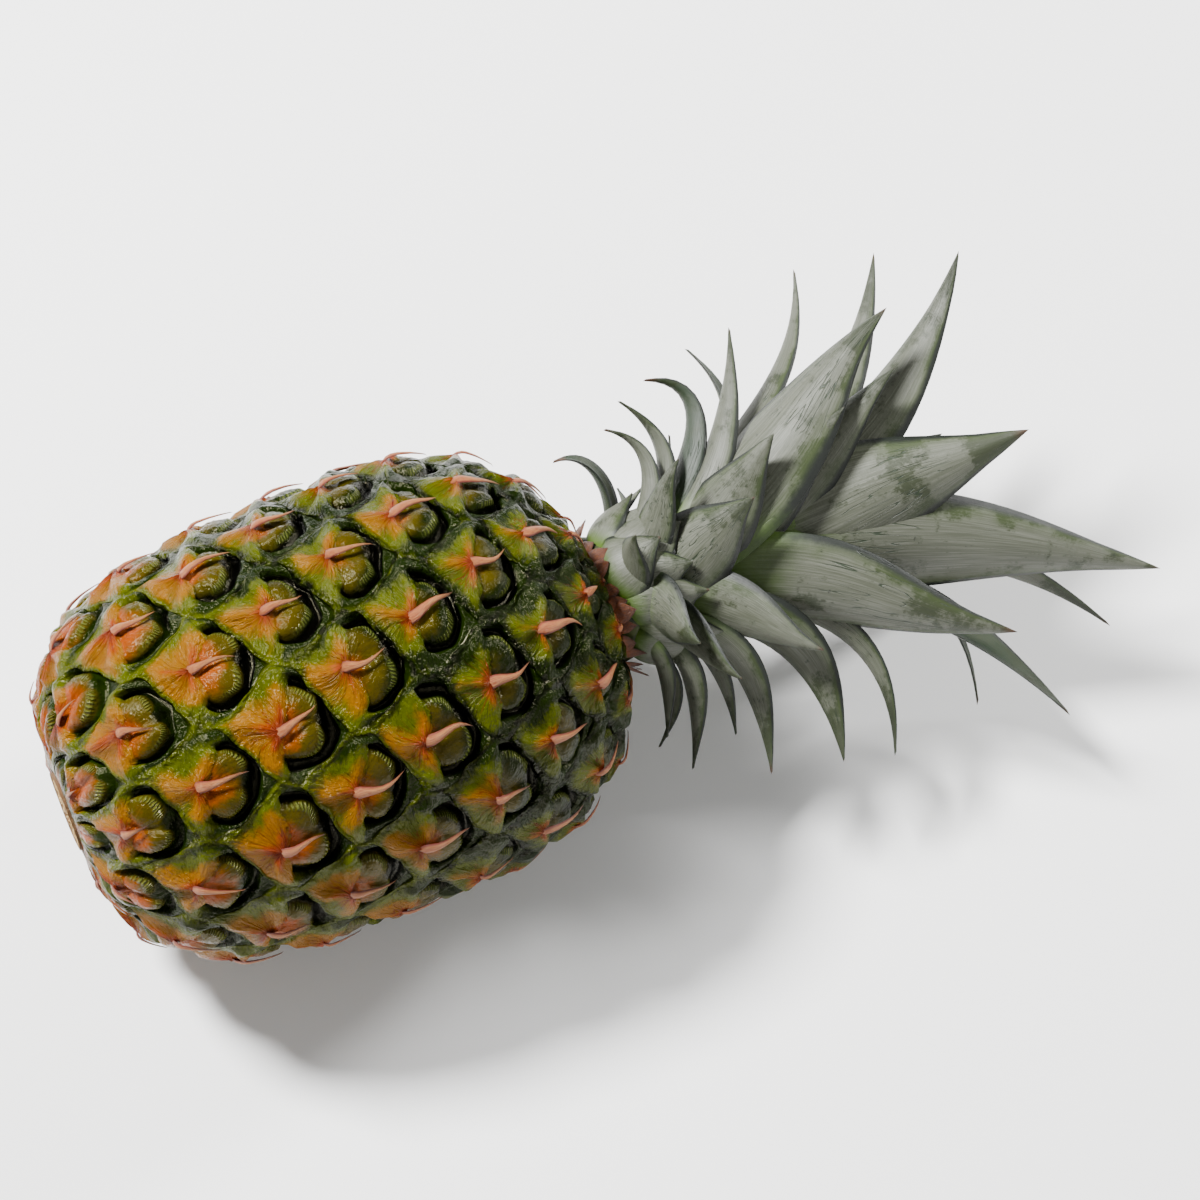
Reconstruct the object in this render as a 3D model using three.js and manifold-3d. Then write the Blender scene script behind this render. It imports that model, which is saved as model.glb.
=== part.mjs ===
// A whole pineapple lying on its side: the fruit with its eyes, the leafy crown and the cut stalk.
// Millimetres, +Z up, the fruit's axis along +X from the stalk to the crown.
// The origin is the middle of the bottom of the bounding box.
import * as THREE from "three";
import { mergeVertices } from "three/addons/utils/BufferGeometryUtils.js";
import Module from "manifold-3d";

// Driving dimensions of the fruit
const FRUIT_LENGTH = 155.8;
const FRUIT_RADIUS = 59;
const TAPER = -0.042; // share by which the crown end is fuller than the stalk end
const STALK_END = { flat: 3.36, round: 3.24 }; // exponents of the profile's two ends
const CROWN_END = { flat: 3.01, round: 2.315 };
const REST_CUT = 1.1; // how far the eyes underneath are pressed flat
const END_RADIUS = 15; // smooth disc left at each end, for the stalk and the crown

// Driving dimensions of the eyes: one spiral, whose eyes line up in rows of 5, 8 and 13
const DIVERGENCE = 137.9; // degrees about the axis from one eye to the next
const FIRST_TURN = 79.97; // degrees, eye 0
const FIRST_X = 17.07; // eye 0
const EYE_RISE = 1.647; // along the skin from one eye to the next
const RISE_TREND = -0.32; // the eyes get shorter towards the crown
const RISE_AT_ENDS = -0.3; // and longer where the fruit is narrow
const GROOVE = 3.7; // depth of the grooves between eyes
const STAR = 1.3; // height of an eye's middle over its rim
const SPINE = 14.5; // length of the bract's point

// Driving dimensions of the crown and the stalk
const GAP = 0.3; // between touching pieces
const CROWN_ROLL = 64.4; // degrees: the crown's front leaf, from level towards upright
const BLADE = 1.5; // thickness of a leaf at its foot
const BLADE_TIP = 0.75;
const BACK_LEAVES = 20;
const STALK_RADIUS = 11;
const STALK_OUT = 0.8; // how far the stalk stands out of its socket
const SOCKET_DEPTH = 6;

const wasm = await Module();
wasm.setup();
const X_AXIS = new THREE.Vector3(1, 0, 0);
const rad = THREE.MathUtils.degToRad;

// Seeded draws, the same on every run
let seed = 20817;
function draw(low, high) {
  seed = (seed * 1664525 + 1013904223) % 4294967296;
  return low + (high - low) * (seed / 4294967296);
}

// Direction away from the axis at an angle from level (-Y), through upright (+Z)
function outward(turn) {
  return new THREE.Vector3(0, -Math.cos(turn), Math.sin(turn));
}

// A closed solid from loose triangles, given as points
function solidOf(points) {
  const loose = new THREE.BufferGeometry().setFromPoints(points);
  return manifoldOf(loose);
}

function manifoldOf(geometry, weld = 1e-4) {
  const bare = geometry.clone();
  bare.deleteAttribute("normal");
  bare.deleteAttribute("uv");
  const merged = mergeVertices(bare, weld);
  const triVerts = [];
  const index = merged.index.array;
  for (let i = 0; i < index.length; i += 3) {
    const [a, b, c] = [index[i], index[i + 1], index[i + 2]];
    if (a !== b && b !== c && c !== a) triVerts.push(a, b, c);
  }
  const vertProperties = new Float32Array(merged.attributes.position.array);
  return new wasm.Manifold(
    new wasm.Mesh({ numProp: 3, vertProperties, triVerts: new Uint32Array(triVerts) }),
  );
}

// The outer skin alone: hollows sealed between fused leaves are filled, and slivers are dropped
function filled(solid) {
  const welded = manifoldOf(geometryOf(solid), 1e-3);
  return welded.decompose().reduce((best, body) => (body.volume() > best.volume() ? body : best));
}

function boxSolid(low, high) {
  const size = new THREE.Vector3().subVectors(high, low);
  const box = new THREE.BoxGeometry(size.x, size.y, size.z);
  box.translate(low.x + size.x / 2, low.y + size.y / 2, low.z + size.z / 2);
  return manifoldOf(box);
}

function geometryOf(solid) {
  const mesh = solid.getMesh();
  const geometry = new THREE.BufferGeometry();
  const positions = new Float32Array(mesh.vertProperties);
  geometry.setAttribute("position", new THREE.BufferAttribute(positions, 3));
  geometry.setIndex(new THREE.BufferAttribute(new Uint32Array(mesh.triVerts), 1));
  geometry.computeVertexNormals();
  return geometry;
}

// The fruit's outline: radius at a distance along the axis
function outline(x) {
  const u = (2 * x) / FRUIT_LENGTH - 1;
  const end = u > 0 ? CROWN_END : STALK_END;
  const fall = Math.max(0, 1 - Math.abs(u) ** end.flat);
  return (1 - TAPER * u) * fall ** (1 / end.round);
}

const FULL = Math.max(...Array.from({ length: 401 }, (_, k) => outline((k / 400) * FRUIT_LENGTH)));

function radiusAt(x) {
  return (FRUIT_RADIUS * outline(x)) / FULL;
}

// The spiral along the skin: eye number against distance, summed in small steps
const SPIRAL = spiralTable();

function spiralTable() {
  const table = [];
  const steps = 1400;
  let number = 0;
  let last;
  for (let k = 1; k < steps; k++) {
    const w = k / steps;
    const x = FRUIT_LENGTH * (w * w * (3 - 2 * w));
    const r = radiusAt(x);
    if (last) {
      const mean = Math.max(0.5, (r + last.r) / 2);
      const along = 1 + RISE_TREND * (x / FRUIT_LENGTH - 0.5);
      const narrow = Math.min(1, mean / (x < FRUIT_LENGTH / 2 ? 27 : 31)) ** 1.3;
      const rise = EYE_RISE * along * narrow * (mean / FRUIT_RADIUS) ** RISE_AT_ENDS;
      number += Math.hypot(x - last.x, r - last.r) / rise;
    }
    last = { x, r, number };
    table.push(last);
  }
  const zero = lookUp(table, "x", FIRST_X).number;
  table.forEach((row) => (row.number -= zero));
  return table;
}

function lookUp(table, key, value) {
  let low = 0;
  let high = table.length - 1;
  while (high - low > 1) {
    const middle = (low + high) >> 1;
    if (table[middle][key] <= value) low = middle;
    else high = middle;
  }
  const a = table[low];
  const b = table[high];
  const share = THREE.MathUtils.clamp((value - a[key]) / (b[key] - a[key]), 0, 1);
  return {
    x: a.x + share * (b.x - a.x),
    number: a.number + share * (b.number - a.number),
  };
}

// How far the skin runs from one eye to the next
function spiralRise(number) {
  const a = lookUp(SPIRAL, "number", number).x;
  const b = lookUp(SPIRAL, "number", number + 1).x;
  return Math.max(0.4, Math.hypot(b - a, radiusAt(b) - radiusAt(a)));
}

// A point of the skin: eye number (with fractions), turn in degrees, and height over the outline
function skin(number, turn, height) {
  const x = lookUp(SPIRAL, "number", number).x;
  const r = radiusAt(x);
  const slope = (radiusAt(Math.min(x + 0.05, FRUIT_LENGTH)) - radiusAt(x - 0.05)) / 0.1;
  const away = outward(rad(turn));
  const normal = away.clone().addScaledVector(X_AXIS, -slope).normalize();
  const along = X_AXIS.clone().addScaledVector(away, slope).normalize();
  const fade = THREE.MathUtils.smoothstep(r, END_RADIUS - 1, END_RADIUS + 12);
  const point = X_AXIS.clone().multiplyScalar(x).addScaledVector(away, r);
  point.addScaledVector(normal, height * fade);
  return { point, normal, along, r, fade };
}

// Steps to the neighbours along the rows of 8 and 13
const STEP_8 = 1080 - 8 * DIVERGENCE;
const STEP_13 = 1800 - 13 * DIVERGENCE;

function inCell(eye, a, b, height) {
  const turn = FIRST_TURN - eye * DIVERGENCE + a * STEP_8 + b * STEP_13;
  return skin(eye + 8 * a + 13 * b, turn, height);
}

// An eye's border: six corners, with a point more on each long side
const CORNER = 0.1; // how far the cells are from regular
const NEAR = 1 / 3 + CORNER;
const FAR = 2 / 3 - CORNER;
const CORNERS = [
  [NEAR, NEAR],
  [-NEAR, FAR],
  [-FAR, NEAR],
  [-NEAR, -NEAR],
  [NEAR, -FAR],
  [FAR, -NEAR],
];
const BORDER = CORNERS.flatMap(([a, b], k) => {
  const [c, d] = CORNERS[(k + 1) % 6];
  const long = Math.hypot(c - a, d - b) > 0.5;
  return long ? [[a, b], [(a + c) / 2, (b + d) / 2]] : [[a, b]];
});

function eyeTriangles(eye, plain) {
  const points = [];
  const groove = BORDER.map(([a, b]) => inCell(eye, a, b, -GROOVE).point);
  const count = groove.length;
  const next = (k) => (k + 1) % count;
  if (plain) {
    const middle = inCell(eye, 0, 0, -GROOVE * 0.6).point;
    groove.forEach((p, k) => points.push(p, groove[next(k)], middle));
    return points;
  }
  // The rim bulges on the crown side and slopes on the stalk side
  const rim = BORDER.map(([a, b]) => {
    const ahead = (8 * a + 13 * b) / 9;
    const height = THREE.MathUtils.lerp(-1.9, -0.1, THREE.MathUtils.clamp(ahead + 0.5, 0, 1));
    const share = ahead > 0 ? 0.76 : 0.68;
    return inCell(eye, a * share, b * share, height).point;
  });
  groove.forEach((p, k) => {
    points.push(p, groove[next(k)], rim[next(k)]);
    points.push(p, rim[next(k)], rim[k]);
  });
  // The bract's foot is a small triangle, and its point runs over the skin towards the crown
  const star = inCell(eye, 0.02, 0.03, STAR + draw(-0.3, 0.3));
  const across = new THREE.Vector3().crossVectors(star.normal, star.along);
  const size = THREE.MathUtils.clamp(star.r / 50, 0.4, 1) * draw(0.85, 1.1);
  const lift = draw(0.75, 1.3);
  const sway = draw(-2.6, 2.6);
  const reach = (SPINE * size) / spiralRise(eye);
  const over = (way, height) => {
    const at = skin(eye + way * reach, FIRST_TURN - eye * DIVERGENCE, height);
    return at.point.addScaledVector(across, way * way * sway);
  };
  const rings = [0, 0.5].map((way) => {
    const centre = way ? over(way, STAR + 1.9 * lift * size) : star.point.clone();
    const wide = (1 - 0.55 * way) * size;
    const side = (offset) =>
      centre.clone().addScaledVector(across, offset * wide).addScaledVector(star.along, 0.8 * (1 - way));
    const ridge = centre
      .clone()
      .addScaledVector(star.along, -2.4 * wide * (1 - way))
      .addScaledVector(star.normal, 1.1 * wide * way);
    return [ridge, side(-2.1), side(2.1)];
  });
  const tip = over(1, STAR + 1.6 * lift * size);
  points.push(...bridge(rim, rings[0]));
  for (let k = 0; k < 3; k++) {
    const m = (k + 1) % 3;
    points.push(rings[0][k], rings[0][m], rings[1][m]);
    points.push(rings[0][k], rings[1][m], rings[1][k]);
    points.push(rings[1][k], rings[1][m], tip);
  }
  return points;
}

// Triangles between an outer loop and a small inner one: each outer side goes to its nearest inner point
function bridge(outer, inner) {
  const middle = inner.reduce((sum, p) => sum.add(p), new THREE.Vector3()).divideScalar(inner.length);
  const nearest = outer.map((p) => {
    const side = p.clone().sub(middle).normalize();
    const facing = inner.map((q) => q.clone().sub(middle).normalize().dot(side));
    return facing.indexOf(Math.max(...facing));
  });
  const points = [];
  outer.forEach((p, k) => {
    const m = (k + 1) % outer.length;
    points.push(p, outer[m], inner[nearest[k]]);
    if (nearest[m] !== nearest[k]) points.push(outer[m], inner[nearest[m]], inner[nearest[k]]);
  });
  return points;
}

// Closes each open edge of a skin to a point beyond the fruit's end
function closeEnds(points) {
  const key = (p) => p.toArray().map((v) => Math.round(v * 500)).join();
  const edges = new Map();
  for (let k = 0; k < points.length; k += 3) {
    for (let m = 0; m < 3; m++) {
      const a = points[k + m];
      const b = points[k + ((m + 1) % 3)];
      edges.set(key(a) + "|" + key(b), [a, b]);
    }
  }
  const caps = [];
  edges.forEach(([a, b]) => {
    if (edges.has(key(b) + "|" + key(a))) return;
    const pole = new THREE.Vector3(a.x < FRUIT_LENGTH / 2 ? -90 : FRUIT_LENGTH + 90, 0, 0);
    caps.push(b, a, pole);
  });
  return points.concat(caps);
}

function endAt(radius, fromCrown) {
  const row = SPIRAL.filter((s) => radiusAt(s.x) < radius && s.x > FRUIT_LENGTH / 2 === fromCrown);
  return fromCrown ? row[0] : row[row.length - 1];
}

const BASE_CUT = endAt(END_RADIUS, false);
const TOP_CUT = endAt(END_RADIUS + 1, true);

function makeFruit() {
  const first = Math.ceil(endAt(END_RADIUS + 6, false).number);
  const last = Math.floor(endAt(END_RADIUS + 7, true).number);
  const points = [];
  for (let eye = Math.ceil(BASE_CUT.number) - 11; eye <= TOP_CUT.number + 11; eye++) {
    points.push(...eyeTriangles(eye, eye < first || eye > last));
  }
  const whole = solidOf(closeEnds(points));
  const low = new THREE.Vector3(BASE_CUT.x, -90, REST_CUT - FRUIT_RADIUS);
  const high = new THREE.Vector3(TOP_CUT.x, 90, 90);
  const trimmed = whole.intersect(boxSolid(low, high));
  const socket = stub(BASE_CUT.x + SOCKET_DEPTH, BASE_CUT.x - 9, STALK_RADIUS + GAP, 1.06);
  return filled(trimmed.subtract(socket));
}

// A solid lofted through rings of points, fanned shut at the first ring and drawn to a tip
function loft(rings, tip, turned) {
  const points = [];
  const count = rings[0].length;
  for (let k = 0; k + 1 < rings.length; k++) {
    for (let m = 0; m < count; m++) {
      const n = (m + 1) % count;
      const [a, b, c, d] = [rings[k][m], rings[k][n], rings[k + 1][n], rings[k + 1][m]];
      if (turned.includes(m)) points.push(a, b, d, b, c, d);
      else points.push(a, b, c, a, c, d);
    }
  }
  const foot = rings[0];
  for (let m = 1; m + 1 < count; m++) points.push(foot[0], foot[m + 1], foot[m]);
  const end = rings[rings.length - 1];
  end.forEach((p, m) => points.push(p, end[(m + 1) % count], tip));
  const solid = solidOf(points);
  if (solid.volume() > 0) return solid;
  const flipped = [];
  for (let k = 0; k < points.length; k += 3) flipped.push(points[k], points[k + 2], points[k + 1]);
  return solidOf(flipped);
}

// The crown's short stem
const STEM = [
  [0, 18],
  [12, 16],
  [26, 12.5],
  [40, 8.5],
  [54, 4],
];

function stemRadius(x) {
  const along = x - TOP_CUT.x - GAP;
  const k = Math.max(1, STEM.findIndex(([at]) => at > along));
  const [x0, r0] = STEM[k - 1];
  const [x1, r1] = STEM[k];
  return r0 + ((along - x0) / (x1 - x0)) * (r1 - r0);
}

// The crown's leaves are placed by their turn about the axis from the front leaf
function crownTurn(degrees) {
  return outward(rad(CROWN_ROLL + degrees));
}

function crownPoint(x, side, lift) {
  const point = crownTurn(90).multiplyScalar(side).addScaledVector(crownTurn(0), lift);
  return point.addScaledVector(X_AXIS, x);
}

// One leaf: a channelled blade, widest a third of the way up, that bends from its foot's lean to its tip's
function leaf({ turn, foot, tip, width, lean, tipLean, twist = 0 }) {
  const start = crownTurn(turn).multiplyScalar(stemRadius(foot) - 3).addScaledVector(X_AXIS, foot);
  const end = crownPoint(...tip);
  const length = start.distanceTo(end);
  const heading = (away, degrees) =>
    X_AXIS.clone().multiplyScalar(Math.cos(rad(degrees))).addScaledVector(away, Math.sin(rad(degrees)));
  const endAway = end.clone().sub(start).setX(0).normalize();
  const pull = tipLean > 100 ? 0.55 : 0.36;
  const curve = new THREE.CubicBezierCurve3(
    start,
    start.clone().addScaledVector(heading(crownTurn(turn), lean), length * 0.4),
    end.clone().addScaledVector(heading(endAway, tipLean), -length * pull),
    end,
  );
  const fewest = tipLean > 100 ? 6 : 4;
  const stations = THREE.MathUtils.clamp(Math.round(curve.getLength() / 17) + 1, fewest, 7);
  const rings = [];
  let face = crownTurn(turn);
  for (let k = 0; k < stations; k++) {
    const s = (k / stations) * 0.985;
    const middle = curve.getPointAt(s);
    const ahead = curve.getTangentAt(Math.max(0.001, s));
    face = face.clone().addScaledVector(ahead, -face.dot(ahead)).normalize();
    const normal = face.clone().applyAxisAngle(ahead, rad(twist * s));
    const across = new THREE.Vector3().crossVectors(ahead, normal);
    const shape = (1 - s ** 2.6) * (0.72 + 0.28 * Math.sin(Math.PI * Math.min(1, s / 0.85)));
    const half = Math.max(0.5, (width / 2) * shape * 1.08);
    const keel = 0.34 * half;
    const thick = THREE.MathUtils.lerp(BLADE, BLADE_TIP, s);
    const at = (side, depth) => middle.clone().addScaledVector(across, side).addScaledVector(normal, depth);
    rings.push([
      at(-half, -keel),
      at(0, keel * 0.6),
      at(half, -keel),
      at(half, -keel - thick * 0.75),
      at(0, keel * 0.6 - thick),
      at(-half, -keel - thick * 0.75),
    ]);
  }
  return loft(rings, end, [3, 4]);
}

// The leaves that face the front and the sides: turn from the front leaf, foot along the axis,
// tip [along the axis, sideways, outwards], width, lean of the foot and of the tip in degrees
const FRONT_LEAVES = [
  // the long inner blades
  { turn: -2, foot: 184.5, tip: [277, 1, 31], width: 34.6, lean: 6.5, tipLean: 14 },
  { turn: -32, foot: 186, tip: [302, -48, 17], width: 33, lean: 13, tipLean: 30 },
  { turn: 48, foot: 186, tip: [282, 54, 15], width: 27, lean: 4, tipLean: 52 },
  { turn: 34, foot: 176, tip: [254, 46, 25], width: 31, lean: 25, tipLean: 22 },
  { turn: 58, foot: 182, tip: [265, 63, -5], width: 20, lean: 6, tipLean: 60 },
  { turn: 26, foot: 182, tip: [250, 30, 25], width: 23, lean: 8, tipLean: 26 },
  { turn: 16, foot: 177, tip: [232, 25, 28], width: 22, lean: 12, tipLean: 30 },
  { turn: -36, foot: 178, tip: [254, -49, 28], width: 29, lean: 18, tipLean: 30 },
  { turn: -52, foot: 192, tip: [291, -59, -10], width: 13, lean: 10, tipLean: 56 },
  { turn: -134, foot: 186, tip: [266, -77, 5], width: 20, lean: 14, tipLean: 68 },
  { turn: 165, foot: 188, tip: [270, 9, -24], width: 27, lean: 8, tipLean: 12 },
  // the middle ones
  { turn: 66, foot: 178, tip: [243, 67, -10], width: 14, lean: 42, tipLean: 72 },
  { turn: 18, foot: 172, tip: [210, 25, 32], width: 23, lean: 14, tipLean: 40 },
  { turn: 4, foot: 167, tip: [198, 11, 35], width: 23, lean: 18, tipLean: 32 },
  { turn: -36, foot: 171, tip: [201, -34, 32], width: 21, lean: 24, tipLean: 46 },
  { turn: 50, foot: 170, tip: [214, 57, 12], width: 13, lean: 20, tipLean: 72 },
  { turn: 126, foot: 176, tip: [206, 57, -12], width: 14, lean: 30, tipLean: 118 },
  { turn: -58, foot: 176, tip: [215, -69, 6], width: 11, lean: 18, tipLean: 112 },
  { turn: -50, foot: 170, tip: [200, -65, 10], width: 19, lean: 22, tipLean: 104 },
  { turn: -128, foot: 182, tip: [248, -66, -16], width: 12, lean: 17, tipLean: 104 },
  // the short outer ones, which curl back
  { turn: 62, foot: 166, tip: [188, 52, 4], width: 9, lean: 12, tipLean: 165 },
  { turn: 54, foot: 164, tip: [178, 49, 10], width: 9, lean: 20, tipLean: 130 },
  { turn: 44, foot: 161, tip: [171, 43, 12], width: 8, lean: 26, tipLean: 150 },
  { turn: 104, foot: 160, tip: [157, 40, 0], width: 9, lean: 14, tipLean: 185 },
  { turn: 30, foot: 161, tip: [184, 28, 28], width: 14, lean: 18, tipLean: 40 },
  { turn: 14, foot: 157, tip: [164, 13, 34], width: 14, lean: 30, tipLean: 76 },
  { turn: -16, foot: 159, tip: [169, -20, 38], width: 19, lean: 26, tipLean: 66 },
  { turn: -40, foot: 162, tip: [177, -33, 33], width: 18, lean: 30, tipLean: 60 },
  { turn: -56, foot: 165, tip: [181, -61, 5], width: 13, lean: 28, tipLean: 106 },
  { turn: -64, foot: 160, tip: [162, -52, 0], width: 10, lean: 34, tipLean: 116 },
  { turn: -84, foot: 167, tip: [178, -48, -6], width: 11, lean: 30, tipLean: 100 },
  { turn: -80, foot: 158, tip: [156, -43, -3], width: 8, lean: 34, tipLean: 140 },
  { turn: -54, foot: 157, tip: [157, -41, 8], width: 8, lean: 44, tipLean: 112 },
  { turn: -100, foot: 172, tip: [192, -47, -16], width: 12, lean: 24, tipLean: 74 },
];

// The leaves at the back follow the spiral round, longer and more upright the further in they are
function backLeaf(k) {
  const inner = k / (BACK_LEAVES - 1);
  const turn = 118 + 124 * ((k * 0.618 + 0.3) % 1);
  const reach = THREE.MathUtils.lerp(41, 46, inner) + draw(-3, 3);
  const long = THREE.MathUtils.lerp(4, 92, inner ** 1.15);
  const foot = THREE.MathUtils.lerp(158, 187, inner);
  const away = rad(turn + draw(-4, 4));
  return {
    turn,
    foot,
    tip: [foot + long, reach * Math.sin(away), reach * Math.cos(away)],
    width: THREE.MathUtils.lerp(9, 24, inner) * draw(0.85, 1.1),
    lean: THREE.MathUtils.lerp(36, 8, inner),
    tipLean: THREE.MathUtils.lerp(118, 26, inner ** 0.6),
  };
}

function makeCrown() {
  const sides = 14;
  const ring = (x, r) =>
    Array.from({ length: sides }, (_, k) =>
      outward((2 * Math.PI * k) / sides).multiplyScalar(r).addScaledVector(X_AXIS, x),
    );
  const base = TOP_CUT.x + GAP;
  const rings = STEM.map(([along, r]) => ring(base + along, r));
  const stem = loft(rings, new THREE.Vector3(base + 60, 0, 0), []);
  const back = Array.from({ length: BACK_LEAVES }, (_, k) => backLeaf(k));
  return filled(wasm.Manifold.union([stem, ...FRONT_LEAVES.map(leaf), ...back.map(leaf)]));
}

// A ribbed stub between two places on the axis, which widens by a factor to its outer end
function stub(from, to, radius, widening) {
  const sides = 20;
  const rings = [0, 1].map((way) =>
    Array.from({ length: sides }, (_, k) => {
      const rib = 1 + 0.05 * Math.cos((k * 2 * Math.PI * 4) / sides);
      const r = radius * rib * THREE.MathUtils.lerp(1, widening, way);
      const x = THREE.MathUtils.lerp(from, to, way);
      return outward((2 * Math.PI * k) / sides).multiplyScalar(r).addScaledVector(X_AXIS, x);
    }),
  );
  return loft(rings, new THREE.Vector3(to, 0, 0), []);
}

// The stalk: what is left of the fruit's stem, broken off in its socket
function makeStalk() {
  return stub(BASE_CUT.x + SOCKET_DEPTH - GAP, BASE_CUT.x - STALK_OUT, STALK_RADIUS, 1);
}

function mesh(name, solid, colour, roughness) {
  const material = new THREE.MeshStandardMaterial({ color: colour, roughness, metalness: 0 });
  const made = new THREE.Mesh(geometryOf(solid), material);
  made.name = name;
  return made;
}

const group = new THREE.Group();
group.name = "pineapple";
group.add(mesh("fruit", makeFruit(), 0x8a7a26, 0.5));
group.add(mesh("crown", makeCrown(), 0x8b9a7a, 0.6));
group.add(mesh("stalk", makeStalk(), 0xb59a6a, 0.8));

// The origin goes to the middle of the bottom of the bounding box
const box = new THREE.Box3().setFromObject(group, true);
const centre = box.getCenter(new THREE.Vector3());
group.children.forEach((child) => child.geometry.translate(-centre.x, -centre.y, -box.min.z));

export default group;
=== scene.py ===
# A whole fresh pineapple lying on its side, dressed for its picture: the fruit's skin of spiny eyes,
# the dry points of its bracts, the leafy crown and the broken stalk.
import math

import bpy
import numpy as np
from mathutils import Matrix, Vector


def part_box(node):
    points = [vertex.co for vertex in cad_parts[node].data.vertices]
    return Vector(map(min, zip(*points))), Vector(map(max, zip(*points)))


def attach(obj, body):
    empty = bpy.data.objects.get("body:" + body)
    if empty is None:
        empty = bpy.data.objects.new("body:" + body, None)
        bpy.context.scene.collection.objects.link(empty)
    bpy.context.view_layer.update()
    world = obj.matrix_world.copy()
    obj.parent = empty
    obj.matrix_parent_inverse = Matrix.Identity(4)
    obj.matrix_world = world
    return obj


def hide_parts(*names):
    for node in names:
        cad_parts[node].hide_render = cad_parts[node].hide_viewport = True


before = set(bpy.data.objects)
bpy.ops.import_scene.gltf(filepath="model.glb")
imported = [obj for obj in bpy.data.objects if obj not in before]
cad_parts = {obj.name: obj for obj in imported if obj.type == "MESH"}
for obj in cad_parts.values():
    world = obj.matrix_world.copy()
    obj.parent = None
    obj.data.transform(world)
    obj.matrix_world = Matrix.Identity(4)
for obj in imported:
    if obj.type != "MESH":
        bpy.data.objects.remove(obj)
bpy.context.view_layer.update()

# The fruit's skin: some 130 small fruits grown together in a barrel, fleshy inside and waxy outside. Each
# shows as an eye: a bract like a star with three arms and, towards the crown, two domed lobes with a deep
# crescent round them. The eyes grow on one spiral and line up in rows of 5, 8 and 13.
MM = 0.001
FRUIT_LENGTH = 155.8
FRUIT_RADIUS = 59
TAPER = -0.042
STALK_END = (3.36, 3.24)  # how flat and how full the barrel is at this end
CROWN_END = (3.01, 2.315)
END_RADIUS = 15


def smooth(value, low, high):
    share = np.clip((value - low) / (high - low), 0, 1)
    return share * share * (3 - 2 * share)


def outline(x):
    u = 2 * np.asarray(x, float) / FRUIT_LENGTH - 1
    flat = np.where(u > 0, CROWN_END[0], STALK_END[0])
    full = np.where(u > 0, CROWN_END[1], STALK_END[1])
    return (1 - TAPER * u) * np.maximum(0, 1 - np.abs(u) ** flat) ** (1 / full)


FULL = outline(np.arange(401) / 400 * FRUIT_LENGTH).max()


def radius_at(x):
    return FRUIT_RADIUS * outline(x) / FULL


# The spiral: eye numbers, with fractions, against the distance along the fruit
DIVERGENCE = 137.9  # degrees from one eye to the next
FIRST_TURN = 79.97
FIRST_X = 17.07
EYE_RISE = 1.647  # mm along the fruit from one eye to the next
RISE_TREND = -0.32
RISE_AT_ENDS = -0.3
NARROW = (27, 31)  # radius under which the steps shorten, at the stalk's end and at the crown's
NARROW_POWER = 1.3
SPIRAL_STEPS = 1400
share = np.arange(1, SPIRAL_STEPS) / SPIRAL_STEPS
SPIRAL_X = FRUIT_LENGTH * share * share * (3 - 2 * share)
SPIRAL_R = radius_at(SPIRAL_X)
mean_radius = np.maximum(0.5, (SPIRAL_R[1:] + SPIRAL_R[:-1]) / 2)
trend = 1 + RISE_TREND * (SPIRAL_X[1:] / FRUIT_LENGTH - 0.5)
narrow_from = np.where(SPIRAL_X[1:] < FRUIT_LENGTH / 2, *NARROW)
narrow = np.minimum(1, mean_radius / narrow_from) ** NARROW_POWER
rise = EYE_RISE * trend * narrow * (mean_radius / FRUIT_RADIUS) ** RISE_AT_ENDS
step_lengths = np.hypot(np.diff(SPIRAL_X), np.diff(SPIRAL_R))
SPIRAL_NUMBER = np.concatenate([[0], np.cumsum(step_lengths / rise)])
SPIRAL_NUMBER -= np.interp(FIRST_X, SPIRAL_X, SPIRAL_NUMBER)


def end_number(radius, from_crown):
    rows = SPIRAL_NUMBER[(SPIRAL_R < radius) & ((SPIRAL_X > FRUIT_LENGTH / 2) == from_crown)]
    return rows[0] if from_crown else rows[-1]


def along_fruit(number):
    return np.interp(number, SPIRAL_NUMBER, SPIRAL_X)


def outward(turn):
    turn = np.radians(turn)
    return np.stack([0 * turn, -np.cos(turn), np.sin(turn)], -1)


SLOPE_STEP = 0.05


def skin_frame(number, turn):
    x = along_fruit(number)
    slope = radius_at(np.minimum(x + SLOPE_STEP, FRUIT_LENGTH)) - radius_at(x - SLOPE_STEP)
    slope = slope / (2 * SLOPE_STEP)
    away = outward(turn)
    ahead = np.zeros_like(away)
    ahead[..., 0] = 1
    normal = away - ahead * slope[..., None]
    along = ahead + away * slope[..., None]
    size = np.hypot(1, slope)[..., None]
    return x, away, normal / size, along / size


# No eye is quite like the next: places on the skin wander a little, the same way for all that lies there
WANDER_AHEAD = 0.32  # eye numbers
WANDER_ASIDE = 0.6  # degrees
WANDER_RADII = (22, 40)  # nothing wanders where the fruit is narrower than the first of these


def wander(number, turn):
    angle = np.radians(turn)
    free = smooth(radius_at(along_fruit(number)), *WANDER_RADII)
    ahead = np.sin(19 * angle + 0.5 * number) + 0.7 * np.sin(31 * angle - 0.8 * number + 1)
    aside = np.sin(17 * angle - 0.45 * number + 2) + 0.7 * np.sin(29 * angle + 0.9 * number + 4)
    return number + WANDER_AHEAD * free * ahead, turn + WANDER_ASIDE * free * aside


RELIEF_RADII = (END_RADIUS - 1, END_RADIUS + 12)  # the relief dies out towards the fruit's two ends


def skin(number, turn, height):
    x, away, normal, _ = skin_frame(*wander(number, turn))
    r = radius_at(x)
    point = away * r[..., None] + normal * (height * smooth(r, *RELIEF_RADII))[..., None]
    point[..., 0] += x
    return point


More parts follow.
